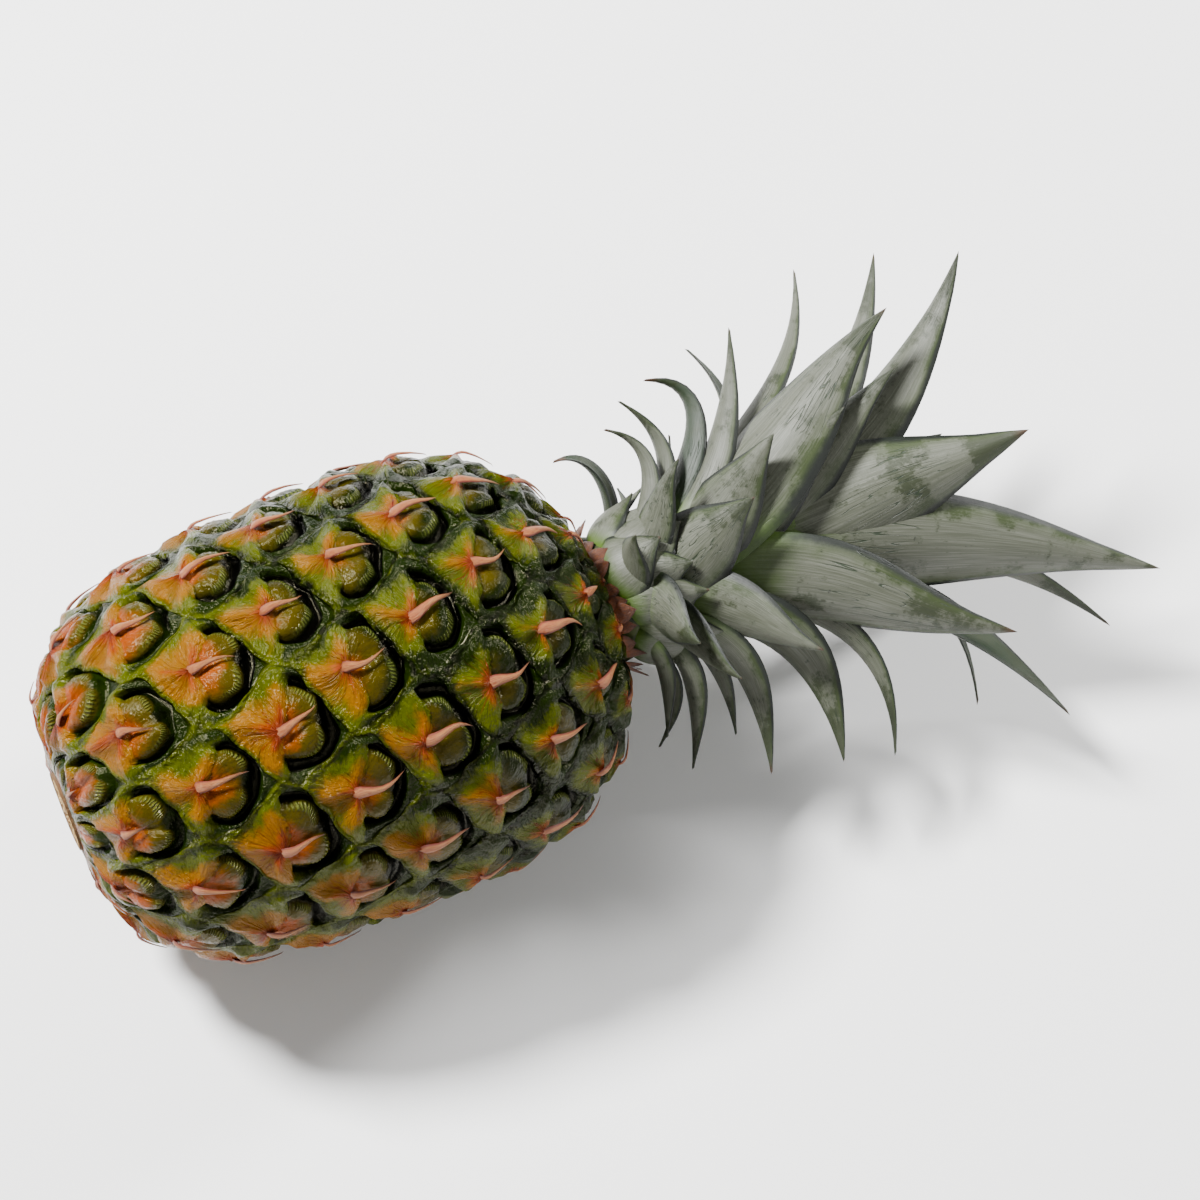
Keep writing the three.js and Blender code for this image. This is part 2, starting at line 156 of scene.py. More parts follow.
# The fruit is cut off flat at both ends, for the stalk and for the crown
BASE_NUMBER = end_number(END_RADIUS, False)
TOP_NUMBER = end_number(END_RADIUS + 1, True)
BASE_X = float(along_fruit(BASE_NUMBER))
TOP_X = float(along_fruit(TOP_NUMBER))

# Where the barrel's axis lies in the part's frame, from the box of the stalk, which stands out by a little
STALK_OUT = 0.8
low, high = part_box("stalk")
PLACE = np.array(
    [low[0] / MM - BASE_X + STALK_OUT, (low[1] + high[1]) / 2 / MM, (low[2] + high[2]) / 2 / MM]
)


def shade_smooth(piece):
    for polygon in piece.data.polygons:
        polygon.use_smooth = True


def piece_from(name, points, faces):
    mesh = bpy.data.meshes.new(name)
    mesh.from_pydata((points + PLACE) * MM, [], faces)
    piece = bpy.data.objects.new(name, mesh)
    bpy.context.collection.objects.link(piece)
    shade_smooth(piece)
    return piece


def select_only(piece):
    bpy.ops.object.select_all(action="DESELECT")
    piece.select_set(True)
    bpy.context.view_layer.objects.active = piece


# Values kept on each corner of each face, so that neighbouring eyes don't mix theirs at a shared border
def keep_values(piece, name, values):
    kind, field = ("FLOAT_COLOR", "color") if values.shape[1] == 4 else ("FLOAT_VECTOR", "vector")
    vertex_of = np.zeros(len(piece.data.loops), int)
    piece.data.loops.foreach_get("vertex_index", vertex_of)
    layer = piece.data.attributes.new(name, kind, "CORNER")
    layer.data.foreach_set(field, values[vertex_of].astype(np.float32).ravel())


# An eye's cell is six-cornered, with its corners in steps along the rows of 8 and of 13. Its points run in
# rays from the middle of the eye's round cup: rings inside the cup, over its rim, and out to the border.
STEP_8 = 1080 - 8 * DIVERGENCE
STEP_13 = 1800 - 13 * DIVERGENCE
NEAR = 1 / 3 + 0.1
FAR = 2 / 3 - 0.1
CELL_CORNERS = np.array(
    [(NEAR, NEAR), (-NEAR, FAR), (-FAR, NEAR), (-NEAR, -NEAR), (NEAR, -FAR), (FAR, -NEAR)]
)
LONG_SIDE = 0.5
LONG_SIDE_PIECES = 11
SHORT_SIDE_PIECES = 3
CELL_AHEAD = 1.5  # eye numbers from a star's middle to its cell's middle
CUP_AHEAD = 2.3  # mm from there to the cup's middle
CUP_LONG = 9.7
CUP_WIDE = 12.2
IN_CUP = [0.14, 0.28, 0.41, 0.53, 0.64, 0.74, 0.83, 0.9, 0.95, 0.99]
OVER_RIM = [1.03, 1.08]
OUTSIDE = [0.33, 0.66, 1.0]
mm_ahead = np.array([8 * EYE_RISE, 13 * EYE_RISE])
mm_aside = np.radians([STEP_8, STEP_13]) * FRUIT_RADIUS
border_mm = []
border_dip = []
for start, end in zip(CELL_CORNERS, np.roll(CELL_CORNERS, -1, 0)):
    is_long = np.hypot(*(end - start)) > LONG_SIDE
    pieces = LONG_SIDE_PIECES if is_long else SHORT_SIDE_PIECES
    for m in range(pieces):
        spot = start + (end - start) * m / pieces
        border_mm.append([spot @ mm_ahead, spot @ mm_aside])
        border_dip.append(1 - (2 * m / pieces - 1) ** 2 if is_long else 0.0)
border_mm = np.array(border_mm)
AROUND = len(border_mm)
cup_middle = np.array([CUP_AHEAD, 0.0])
rays = border_mm - cup_middle
to_rim = 1 / np.hypot(rays[:, 0] / CUP_LONG, rays[:, 1] / CUP_WIDE)
rings = []
for k, share in enumerate(IN_CUP + OVER_RIM):
    # the rim's last rings get nearer to the border where the cup is cut short by it
    furthest = 0.9 + 0.025 * max(0, k - len(IN_CUP) + 1)
    rings.append(cup_middle + rays * np.minimum(to_rim * share, furthest)[:, None])
rim = rings[-1]
rings += [rim + (border_mm - rim) * f for f in OUTSIDE]
cell = np.concatenate([cup_middle[None]] + rings)
inside_points = 1 + AROUND * (len(rings) - len(OUTSIDE))
edge_share = np.concatenate([np.zeros(inside_points), np.repeat(OUTSIDE, AROUND)])
dip = np.concatenate([[0.0], np.tile(border_dip, len(rings))])


# Faces between rings of points, from the first ring's first point on
def ring_faces(first, rings, around):
    faces = []
    for a in range(first, first + (rings - 1) * around, around):
        for k in range(around):
            m = (k + 1) % around
            faces.append((a + k, a + m, a + around + m, a + around + k))
    return faces


cell_faces = [(0, 1 + (k + 1) % AROUND, 1 + k) for k in range(AROUND)]
cell_faces += ring_faces(1, len(rings), AROUND)

# All eyes, with some past each cut, and how each differs from the rule
PAST_BASE = 12
PAST_TOP = 10
eyes = np.arange(math.ceil(BASE_NUMBER) - PAST_BASE, math.floor(TOP_NUMBER + PAST_TOP) + 1)
luck = np.random.default_rng(41)
lucky = luck.uniform(-1, 1, (len(eyes), 10))[:, :, None]
spin_luck, growth_luck, ahead_luck, aside_luck, fold_luck = (lucky[:, k] for k in range(5))
crease_luck, wave_luck, left_luck, right_luck, height_luck = (lucky[:, k] for k in range(5, 10))

# Where each point lies from its star's middle, warped a little in each eye but not at the cell's border
EYE_SPIN = 0.16
EYE_GROWTH = 0.07
EYE_SHIFT = 0.5
inner = (1 - edge_share)[None, :] ** 0.7
ahead_mm = cell[None, :, 0] + CELL_AHEAD * EYE_RISE
aside_mm = cell[None, :, 1] + np.zeros((len(eyes), 1))
spin = spin_luck * EYE_SPIN * inner
grow = 1 + growth_luck * EYE_GROWTH * inner
ahead = (ahead_mm * np.cos(spin) - aside_mm * np.sin(spin)) * grow + ahead_luck * EYE_SHIFT * inner
aside = (ahead_mm * np.sin(spin) + aside_mm * np.cos(spin)) * grow + aside_luck * EYE_SHIFT * inner
away = np.hypot(ahead, aside)
theta = np.arctan2(aside, ahead)
cup_ahead = ahead - CUP_AHEAD - CELL_AHEAD * EYE_RISE
cup_out = np.hypot(cup_ahead / CUP_LONG, aside / CUP_WIDE)
edge = np.broadcast_to(edge_share, ahead.shape)

# The bract: three fleshy, creased arms from its middle, with hollow flanks between them
STAR = 1.3  # height of its middle
ARM_UP = math.radians(76)
ARM_DOWN = math.radians(-102)
ARM_BASE = math.radians(158)
ARM_WIDTH = 0.3
BASE_ARM_WIDTH = 0.42
FALL = 0.33
FLANK_LENGTH = 13
FLANK_HOLLOW = 1.3
CREASE = 0.36
BORDER_MIDDLE = -2.1  # the border's height in the middle of a long side
BORDER_CORNER = -1.0
HEART = 1.3
ARM_REACH = 17
ARM_EDGE = 0.26


def arm(angle, width):
    off = np.abs((theta - angle + np.pi) % (2 * np.pi) - np.pi)
    return np.exp(-((off / width) ** 2))


ridge = arm(ARM_UP, ARM_WIDTH) + arm(ARM_DOWN, ARM_WIDTH)
ridge = np.minimum(1, ridge + 0.8 * arm(ARM_BASE, BASE_ARM_WIDTH))
bract = STAR - FALL * away**0.85 * (1 - 0.75 * ridge)
bract -= FLANK_HOLLOW * np.sin(np.pi * np.clip(away / FLANK_LENGTH, 0, 1)) * (1 - ridge)
creases = np.abs(np.sin(theta * 4.5 + fold_luck * 9))
creases += 0.6 * np.abs(np.sin(theta * 9.5 + crease_luck * 9))
creases += 0.8 * np.abs(np.sin(theta * 2 + wave_luck * 9 + away * 0.2))
bract += CREASE * (creases - 1.2) * smooth(away, 0.8, 3.5) * (1 - smooth(edge, 0.4, 0.95))
border_height = BORDER_MIDDLE * dip + BORDER_CORNER * (1 - dip)
bract += (border_height - bract) * smooth(edge, 0.25, 1.0)
crown_side = np.maximum(np.minimum(ARM_UP - theta, theta - ARM_DOWN), 0)
star_edge = HEART + ARM_REACH * np.exp(-((crown_side / ARM_EDGE) ** 1.3))
star_share = 1 - smooth(away, star_edge, star_edge + 1.5 + 0.05 * away)

# The cup: two domed lobes side by side, splayed towards the crown, and the deep crescent round them
LOBE_AHEAD = 0.5
LOBE_ASIDE = 5.2
LOBE_LONG = 6.5
LOBE_WIDE = 5.1
LOBE_SPREAD = 0.09  # how much the lobes' sizes differ
SPLAY_COS, SPLAY_SIN = 0.96, 0.28
LOBE_FOOT = -3.6
LOBE_DOME = 3.9
NO_LOBE = -9
VALLEY = -1.3
CRESCENT = -3.4
SOFT = 0.3  # how softly lobes and valley run together
lobes = np.full(ahead.shape, float(NO_LOBE))
lobe_share = np.full(ahead.shape, 2.0)
for side, size_luck in ((1, left_luck), (-1, right_luck)):
    ahead_here, aside_here = cup_ahead - LOBE_AHEAD, aside - side * LOBE_ASIDE
    along = ahead_here * SPLAY_COS - side * aside_here * SPLAY_SIN
    across = aside_here * SPLAY_COS + side * ahead_here * SPLAY_SIN
    d = np.hypot(along / LOBE_LONG, across / LOBE_WIDE) / (1 + LOBE_SPREAD * size_luck)
    dome = LOBE_FOOT + LOBE_DOME * np.sqrt(np.maximum(0, 1 - d**2))
    # a low ring near the lobe's foot, and fine wrinkles
    dome += 0.4 * np.exp(-(((d - 0.74) / 0.1) ** 2)) + 0.1 * np.sin(theta * 24 + fold_luck * 5)
    lobes = np.maximum(lobes, np.where(d < 1, dome, NO_LOBE))
    lobe_share = np.minimum(lobe_share, d)
valley = VALLEY + CRESCENT * smooth(cup_out, 0.5, 0.9)
cup = SOFT * np.log(np.exp(lobes / SOFT) + np.exp(valley / SOFT))
in_cup = 1 - smooth(cup_out, 0.985, 1.06)
hollow = in_cup * (1 - star_share) * (edge < 0.99)
height = bract * (1 - hollow) + cup * hollow
height += height_luck * 0.3 * (1 - smooth(edge, 0.2, 0.9))

# The eyes underneath are pressed flat by the fruit's weight, and no point lies too near a cut
REST_CUT = 1.1
CUT_CLEAR = 0.03
number = eyes[:, None] + CELL_AHEAD + cell[None, :, 0] / EYE_RISE
turn = FIRST_TURN - eyes[:, None] * DIVERGENCE + np.degrees(cell[None, :, 1] / FRUIT_RADIUS)
points = skin(number, turn, height)
points[..., 2] = np.maximum(points[..., 2], REST_CUT - FRUIT_RADIUS)
for cut_x, cut_number in ((BASE_X, BASE_NUMBER), (TOP_X, TOP_NUMBER)):
    x = points[..., 0]
    past, short = np.maximum(x, cut_x + CUT_CLEAR), np.minimum(x, cut_x - CUT_CLEAR)
    points[..., 0] = np.where(number > cut_number, past, short)

# How deep each point lies; the rind's finish paints near black shade into the deepest places from it
DEEPEST, SHALLOW = -4.3, -0.6
depth = smooth(height, DEEPEST, SHALLOW)
marks = np.stack([hollow, ridge, depth], -1)
places = np.stack([ahead, aside, 0 * depth + spin_luck * 20], -1)
cups = np.stack([lobe_share, cup_out, edge], -1)
faces = [tuple(v + e * len(cell) for v in face) for e in range(len(eyes)) for face in cell_faces]
skin_piece = piece_from("fruit_skin", points.reshape(-1, 3), faces)
for name, values in (("marks", marks), ("place", places), ("cup", cups)):
    keep_values(skin_piece, name, values.reshape(-1, 3))

# The cells are joined along their borders, and each end is cut off square and closed
WELD = 0.02
CUT_INSIDE = 0.01
select_only(skin_piece)
bpy.ops.object.mode_set(mode="EDIT")
bpy.ops.mesh.select_all(action="SELECT")
bpy.ops.mesh.remove_doubles(threshold=WELD * MM)
for cut_x, side in ((BASE_X + CUT_INSIDE, -1), (TOP_X - CUT_INSIDE, 1)):
    bpy.ops.mesh.select_all(action="SELECT")
    cut_at = ((cut_x + PLACE[0]) * MM, PLACE[1] * MM, PLACE[2] * MM)
    bpy.ops.mesh.bisect(plane_co=cut_at, plane_no=(side, 0, 0), clear_outer=True)
bpy.ops.mesh.select_all(action="SELECT")
bpy.ops.mesh.delete_loose()
bpy.ops.mesh.select_all(action="SELECT")
bpy.ops.mesh.fill_holes(sides=0)
bpy.ops.mesh.select_all(action="SELECT")
bpy.ops.mesh.normals_make_consistent(inside=False)

# The round socket that the stalk sits in, pushed into the flat stalk end
STALK_RADIUS = 11
SOCKET_DEPTH = 6
GAP = 0.3
bpy.ops.mesh.select_mode(type="FACE")
bpy.ops.mesh.select_all(action="DESELECT")
bpy.ops.object.mode_set(mode="OBJECT")
halfway = (PLACE[0] + FRUIT_LENGTH / 2) * MM
stalk_side = [face for face in skin_piece.data.polygons if face.center.x < halfway]
max(stalk_side, key=lambda face: len(face.vertices)).select = True
bpy.ops.object.mode_set(mode="EDIT")
bpy.ops.mesh.extrude_region_move()
bpy.ops.object.mode_set(mode="OBJECT")
axis_y, axis_z = PLACE[1] * MM, PLACE[2] * MM
for vertex in skin_piece.data.vertices:
    if vertex.select:
        y, z = vertex.co.y - axis_y, vertex.co.z - axis_z
        shrink = (STALK_RADIUS + 2 * GAP) * MM / math.hypot(y, z)
        vertex.co = (vertex.co.x, axis_y + y * shrink, axis_z + z * shrink)
bpy.ops.object.mode_set(mode="EDIT")
bpy.ops.mesh.extrude_region_move(TRANSFORM_OT_translate={"value": (SOCKET_DEPTH * MM, 0, 0)})
bpy.ops.mesh.select_mode(type="VERT")
bpy.ops.object.mode_set(mode="OBJECT")
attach(skin_piece, "root")
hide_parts("fruit")


# Finishes are written as sums of fields: a field is a number or a colour that changes over a surface
class Field:
    def __init__(self, tree, socket):
        self.tree = tree
        self.socket = socket

    def maths(self, operation, *values):
        node = self.tree.nodes.new("ShaderNodeMath")
        node.operation = operation
        for slot, value in zip(node.inputs, values):
            join(self.tree, slot, value)
        return Field(self.tree, node.outputs[0])

    def __add__(self, other):
        return self.maths("ADD", self, other)

    def __radd__(self, other):
        return self.maths("ADD", other, self)

    def __sub__(self, other):
        return self.maths("SUBTRACT", self, other)

    def __rsub__(self, other):
        return self.maths("SUBTRACT", other, self)

    def __mul__(self, other):
        return self.maths("MULTIPLY", self, other)

    def __rmul__(self, other):
        return self.maths("MULTIPLY", other, self)

    def __abs__(self):
        return self.maths("ABSOLUTE", self)


# A socket takes a field by a link and anything else as its own value, a colour with its alpha added
def join(tree, slot, value):
    if isinstance(value, Field):
        tree.links.new(value.socket, slot)
    elif hasattr(slot.default_value, "__len__") and hasattr(value, "__len__"):
        slot.default_value = (*value, 1.0)[: len(slot.default_value)]
    else:
        slot.default_value = value


class Finish:
    def __init__(self, name):
        self.material = bpy.data.materials.new(name)
        self.material.use_nodes = True
        self.tree = self.material.node_tree
        self.shader = self.tree.nodes["Principled BSDF"]

    # Any node, from its type, its settings and the values or fields of its sockets, by name or as i0, i1, ...
    def node(self, kind, settings=None, out=0, **sockets):
        node = self.tree.nodes.new("ShaderNode" + kind)
        for key, value in (settings or {}).items():
            setattr(node, key, value)
        for key, value in sockets.items():
            by_number = key[0] == "i" and key[1:].isdigit()
            join(self.tree, node.inputs[int(key[1:]) if by_number else key.replace("_", " ")], value)
        return Field(self.tree, node.outputs[out])

    def kept(self, name, out="Vector"):
        return self.node("Attribute", {"attribute_name": name}, out=out)

    def split(self, vector):
        parts = self.node("SeparateXYZ", Vector=vector).socket.node.outputs
        return [Field(self.tree, part) for part in parts]

    def vector(self, operation, *values, out=0):
        sockets = {f"i{k}": value for k, value in enumerate(values)}
        return self.node("VectorMath", {"operation": operation}, out=out, **sockets)

    def joined(self, x, y, z):
        return self.node("CombineXYZ", X=x, Y=y, Z=z)

    def noise(self, place, scale, detail=2.0, roughness=0.5):
        return self.node("TexNoise", Vector=place, Scale=scale, Detail=detail, Roughness=roughness)

    # Where the surface lies in the part's frame
    def place(self):
        return self.node("TexCoord", out="Object")

    # From 0 to 1 as a field goes from low to high
    def step(self, value, low, high):
        settings = {"interpolation_type": "SMOOTHSTEP"}
        return self.node("MapRange", settings, i0=value, i1=low, i2=high, i3=0.0, i4=1.0)

    def blend(self, share, first, second):
        return self.node("Mix", {"data_type": "RGBA"}, out=2, i0=share, i6=first, i7=second)

    def shine(self, colour, roughness, relief=None, depth=0.001, **sockets):
        if relief is not None:
            sockets["Normal"] = self.node("Bump", Height=relief, Distance=depth, Strength=1.0)
        for key, value in {"Base_Color": colour, "Roughness": roughness, **sockets}.items():
            join(self.tree, self.shader.inputs[key.replace("_", " ")], value)
        return self.material


def tint(red, green, blue):
    return tuple((v / 255) ** 2.2 for v in (red, green, blue))


# The rind: salmon where the arms meet, then amber, yellow and green down the bract, with waxy dark lobes,
# painted near black shade in the crescents and deep places, and painted highlights on the lobes
SALMON = tint(138, 60, 34)
ROSE = tint(80, 14, 4)
AMBER = tint(122, 54, 0)
YELLOW = tint(110, 71, 0)
LIME = tint(61, 67, 0)
GREEN = tint(20, 30, 0)
DEEP_GREEN_AND_SHADE = tint(3, 7, 0)
SEPAL = tint(58, 50, 0)
SEPAL_DARK = tint(18, 26, 0)
BEAD_HIGHLIGHT = tint(96, 104, 48)
CREVICE_SHADE = tint(1, 2, 0)
CREVICE_SHADE_RIPE = tint(24, 36, 0)
BEADS_AROUND = 60.0
rind = Finish("pineapple_rind")
hollow_f, arm_f, depth_shade_f = rind.split(rind.kept("marks"))
ahead_f, aside_f, eye_f = rind.split(rind.kept("place"))
lobe_f, cup_f, edge_f = rind.split(rind.kept("cup"))
flat_place = rind.joined(ahead_f, aside_f, 0.0)
away_f = rind.vector("LENGTH", flat_place, out=1)
ray = rind.vector("NORMALIZE", flat_place)
fibre_place = rind.vector("ADD", ray, rind.joined(0.0, 0.0, eye_f + away_f * 0.03))
fibre = rind.noise(fibre_place, 8.0, 3.0, 0.65)
folds = rind.noise(fibre_place, 3.2, 1.0, 0.4)
where = rind.place()
to_crown = (rind.split(where)[0] - (BASE_X + PLACE[0]) * MM) * (1 / (FRUIT_LENGTH * MM))
patch = rind.noise(where, 34.0, 2.0)
mottle = rind.noise(where, 170.0, 4.0, 0.65)
knots = rind.noise(where, 380.0, 2.0, 0.5)
fine = rind.noise(where, 900.0, 3.0, 0.6)
cloud = (mottle - 0.5) * 0.8 + (patch - 0.5) * 0.9

# how green a spot is: it grows away from the star's middle and towards the crown, least along the arms
to_stalk = rind.step(0.0 - ahead_f, 0.0, 9.0)
unripe = away_f * (0.1 - 0.03 * to_stalk) + (to_crown - 0.45) * 0.9 + cloud - arm_f * 0.4
flank = rind.blend(rind.step(unripe, -0.28, 0.08), AMBER, YELLOW)
flank = rind.blend(rind.step(unripe, 0.25, 0.65), flank, LIME)
flank = rind.blend(rind.step(unripe + (fibre - 0.5) * 0.6, 0.75, 1.1), flank, GREEN)

# a green rope where two eyes meet: bright near the stalk, near black by the crown, partly painted groove
# shade
rope = rind.step(edge_f + cloud * 0.9, 0.35, 1.0) * (1 - 0.35 * arm_f)
rope = rope + (1 - rope) * rind.step(edge_f + (knots - 0.5) * 0.4, 0.62, 1.0)
# its near black is partly the rope's own deep green and partly painted shade in the groove between eyes
rope_green_and_shade = rind.blend(rind.step(knots, 0.38, 0.62), DEEP_GREEN_AND_SHADE, GREEN)
rope_age = (to_crown - 0.45) * 1.2 + cloud * 1.4 - (knots - 0.5)
flank = rind.blend(rope, flank, rind.blend(rind.step(rope_age, -0.4, 0.35), LIME, rope_green_and_shade))

# the star's middle is salmon with rose folds
heart = rind.blend(rind.step(fibre, 0.36, 0.6), SALMON, ROSE)
near_heart = away_f * (1 - 0.4 * arm_f) + (fibre - 0.5) * 6.0
star_colour = rind.blend(rind.step(near_heart, 0.6, 3.6), heart, flank)
fold = (1 - rind.step(abs(folds - 0.5), 0.0, 0.03)) * (1 - rind.step(away_f, 3.0, 9.0))
star_colour = rind.blend(fold * 0.8, star_colour, ROSE)

# the lobes: orange by the star on ripe eyes, else a brown green, with painted highlights as pale beads near
# the rim
dull = away_f * 0.075 + (to_crown - 0.25) * 0.9 + cloud * 0.9
lobe_colour = rind.blend(rind.step(dull, 0.2, 0.7), AMBER, SEPAL)
lobe_colour = rind.blend(rind.step(dull, 0.75, 1.2), lobe_colour, SEPAL_DARK)
cup_centre = CUP_AHEAD + CELL_AHEAD * EYE_RISE
round_cup = rind.node("Math", {"operation": "ARCTAN2"}, i0=aside_f, i1=ahead_f - cup_centre)
bead_wave = round_cup * BEADS_AROUND + mottle * 16.0
beads = rind.node("Math", {"operation": "SINE"}, i0=bead_wave) * 0.5 + 0.5
bead_rim = rind.step(lobe_f, 0.6, 0.74) * (1 - rind.step(lobe_f, 0.84, 0.93)) * hollow_f
bead_rim = bead_rim * rind.step(ahead_f, 4.0, 8.0) * rind.step(cup_f, 0.5, 0.65)
# painted highlights: pale beads along the lobes' rim on the crown side
lobe_colour = rind.blend(bead_rim * (beads * 0.5 + 0.1), lobe_colour, BEAD_HIGHLIGHT)
# painted shade: a near black colour, greener on ripe eyes, for the crevice round the lobes' foot and the deep
# places
crevice_shade = rind.blend(rind.step(to_crown + cloud * 0.5, 0.0, 0.3), CREVICE_SHADE_RIPE, CREVICE_SHADE)
lobe_foot_shade = rind.step(lobe_f, 0.86, 1.0) * rind.step(cup_f, 0.3, 0.6)
lobe_colour = rind.blend(lobe_foot_shade, lobe_colour, crevice_shade)

colour = rind.blend(rind.step(hollow_f, 0.35, 0.65), star_colour, lobe_colour)
# painted shade in the skin's deep places, darker the deeper a point lies
colour = rind.blend(rind.step(depth_shade_f, 0.05, 0.62), crevice_shade, colour)
relief = fibre * 1.4 * (1 - hollow_f * 0.7) + fine * 0.4
relief = relief + knots * (0.3 + rope * 2.4) + bead_rim * beads * 0.6
gloss = 0.22 - 0.05 * hollow_f + (mottle - 0.5) * 0.2
skin_piece.data.materials.append(
    rind.shine(colour, gloss, relief, 0.0009, Specular_IOR_Level=0.14, Specular_Tint=(1.0, 0.93, 0.6))
)


# The bracts' points: each bract runs out over its eye into a stiff spine, dry and papery, that points
# towards the crown and bends in to the skin. Where the fruit meets the crown the last bracts have no eye
# under them and lie there as brown scales.
SPINE = 14.5
SPINE_REACH = 0.86
SPINE_ROWS = 9
SPINE_COLUMNS = 7
FULL_SPINE_RADIUS = 50  # where the fruit is narrower than this, the spines are smaller
TIP_DROP = 1.2
GOLDEN_TURN = 137.5
X_AXIS = np.array([1.0, 0, 0])
seed = 20817


def draw(low, high):
    global seed
    seed = (seed * 1664525 + 1013904223) % 4294967296
    return low + (high - low) * (seed / 4294967296)


def single(value):
    return np.array([float(value)])


def unit(vector):
    return vector / np.linalg.norm(vector)


def spiral_rise(number):
    a = along_fruit(number)
    b = along_fruit(number + 1)
    return max(0.4, float(np.hypot(b - a, radius_at(b) - radius_at(a))))


# An arched blade along a line to its tip, from the directions, half widths, arches and thicknesses of its
# cross-sections. It keeps for its finish: side, way to the tip, chance, and 1 on its upper face.
def add_blade(store, line, across, normal, half, arch, thick, columns, chance):
    middles, tip = line[:-1], line[-1]
    across = np.broadcast_to(across, middles.shape)[:, None]
    normal = np.broadcast_to(normal, middles.shape)[:, None]
    sides = np.linspace(-1, 1, columns)
    over = arch[:, None] * (1 - sides**2)
    upper = middles[:, None] + across * (half[:, None] * sides)[..., None] + normal * over[..., None]
    thin = thick[:, None] * (1 - 0.75 * np.abs(sides) ** 3)
    lower = upper - normal * thin[..., None]
    points = np.concatenate([upper, lower[:, ::-1]], axis=1)
    rows, ring = len(middles), 2 * columns
    marks = np.zeros((rows, ring, 4))
    marks[..., 0] = np.append(sides, sides[::-1]) * 0.5 + 0.5
    marks[..., 1] = (np.arange(rows) / rows)[:, None]
    marks[..., 2] = chance
    marks[:, :columns, 3] = 1
    first = store["count"]
    last = first + (rows - 1) * ring
    top = last + ring
    store["points"] += [points.reshape(-1, 3), tip[None]]
    store["marks"] += [marks.reshape(-1, 4), np.array([[0.5, 1, chance, 0.5]])]
    store["faces"].append(tuple(range(first, first + ring))[::-1])
    store["faces"] += ring_faces(first, rows, ring)
    store["faces"] += [(last + k, last + (k + 1) % ring, top) for k in range(ring)]
    store["count"] += rows * ring + 1


def new_store():
    return {"points": [], "marks": [], "faces": [], "count": 0}


FLOOR_CLEAR = 0.05


def store_piece(name, store):
    points = np.concatenate(store["points"])
    points[:, 2] = np.maximum(points[:, 2], FLOOR_CLEAR - PLACE[2])
    piece = piece_from(name, points, store["faces"])
    keep_values(piece, "blade", np.concatenate(store["marks"]))
    select_only(piece)
    bpy.ops.object.mode_set(mode="EDIT")
    bpy.ops.mesh.select_all(action="SELECT")
    bpy.ops.mesh.normals_make_consistent(inside=False)
    bpy.ops.object.mode_set(mode="OBJECT")
    return piece


first_eye = math.ceil(end_number(END_RADIUS + 6, False))
last_eye = math.floor(end_number(END_RADIUS + 7, True))
spines = new_store()
way = np.linspace(-0.14, 0.93, SPINE_ROWS)
for eye in range(first_eye, last_eye + 1):
    turn_here = FIRST_TURN - eye * DIVERGENCE
    star_height = STAR + draw(-0.3, 0.3)
    size_draw = draw(0.85, 1.1)
    lift = draw(0.75, 1.3)
    sway = draw(-2.6, 2.6)
    x, _, normal, along = skin_frame(single(eye), single(turn_here))
    across = np.cross(normal[0], along[0])
    size = min(1, max(0.4, float(radius_at(x)[0]) / FULL_SPINE_RADIUS)) * size_draw
    reach = SPINE_REACH * SPINE * size / spiral_rise(eye)
    risen = np.array([-1.3, -0.3, 0.25 * lift, 0, -1]) * size
    risen = np.interp(way, [-0.14, 0, 0.22, 0.5, 1], risen)
    numbers = eye + np.append(way, 1.0) * reach
    heights = np.append(star_height + risen, STAR - TIP_DROP)
    line = skin(numbers, np.full(len(numbers), turn_here), heights)
    line += across * (np.append(np.maximum(way, 0), 1.0) ** 2 * sway)[:, None]
    half = size * np.interp(way, [-0.14, 0, 0.15, 0.45, 0.93], [0.5, 1.6, 1.5, 0.85, 0.12])
    arch = size * np.interp(way, [-0.14, 0.1, 0.5, 1], [0.2, 0.75, 0.5, 0.08])
    thick = np.interp(way, [-0.14, 0.3, 1], [0.9, 0.45, 0.2])
    add_blade(spines, line, across, normal[0], half, arch, thick, SPINE_COLUMNS, luck.uniform())

# The brown scales: some on the spiral past the last eye, some in a ring round the crown's foot
SCALE_ROWS = 7
SCALE_COLUMNS = 5
SPIRAL_SCALES = 22
RING_SCALES = 24
scale_way = np.linspace(-0.2, 0.92, SCALE_ROWS)
scale_steps = np.append(scale_way, 1.0)[:, None]
scale_arch = 0.9 * np.interp(scale_way, [-0.2, 0.5, 1], [1, 0.6, 0.1])
scale_thick = np.full(SCALE_ROWS, 0.4)
SPIRAL_SCALE_HALF = 4.2 * np.interp(scale_way, [-0.2, 0.15, 0.6, 0.92], [0.9, 1.0, 0.6, 0.12])
RING_SCALE_HALF = np.interp(scale_way, [-0.2, 0.25, 0.6, 0.92], [0.8, 1.0, 0.7, 0.12])


def add_scale(base, along, bend, across, normal, half, chance):
    line = base + along * scale_steps + bend * scale_steps**2
    add_blade(spines, line, across, normal, half, scale_arch, scale_thick, SCALE_COLUMNS, chance)


